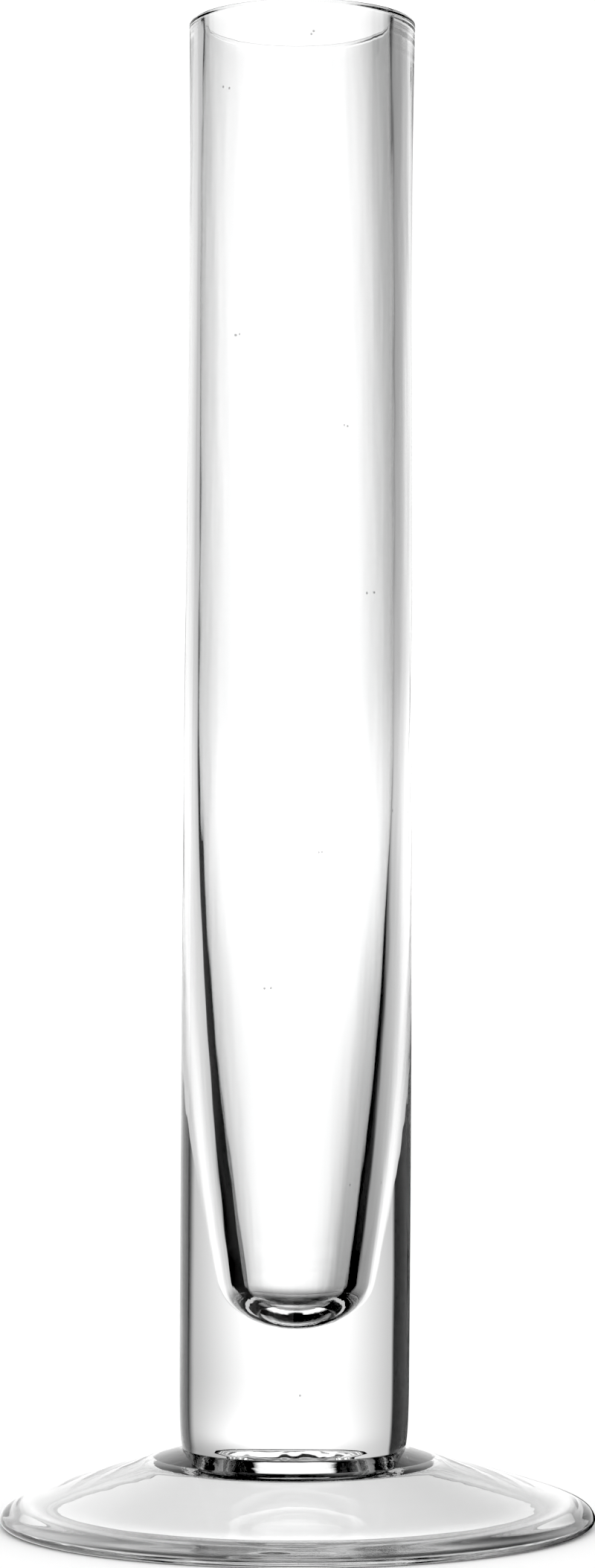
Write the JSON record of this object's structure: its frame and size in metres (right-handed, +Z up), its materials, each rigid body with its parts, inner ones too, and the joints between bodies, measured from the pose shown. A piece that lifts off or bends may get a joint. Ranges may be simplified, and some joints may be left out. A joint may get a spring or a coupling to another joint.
{
  "type": "glass bud vase",
  "caption": "Clear glass bud vase: a straight heavy-based tube with a tapered well, fused by a thin wafer to a wide, shallow domed foot that is hollow underneath.",
  "frame": {"origin": "centre of the plane that the foot rests on", "axes": "+Z up along the tube's axis, towards the mouth; X and Y are free, because the vase is turned"},
  "size_m": [0.0788, 0.0788, 0.2],
  "materials": {
    "clear_glass": "fire-polished, clear and colourless"
  },
  "bodies": {
    "root": {"foot": "clear_glass", "joint_wafer": "clear_glass", "tube_body": "clear_glass"}
  },
  "joints": []
}
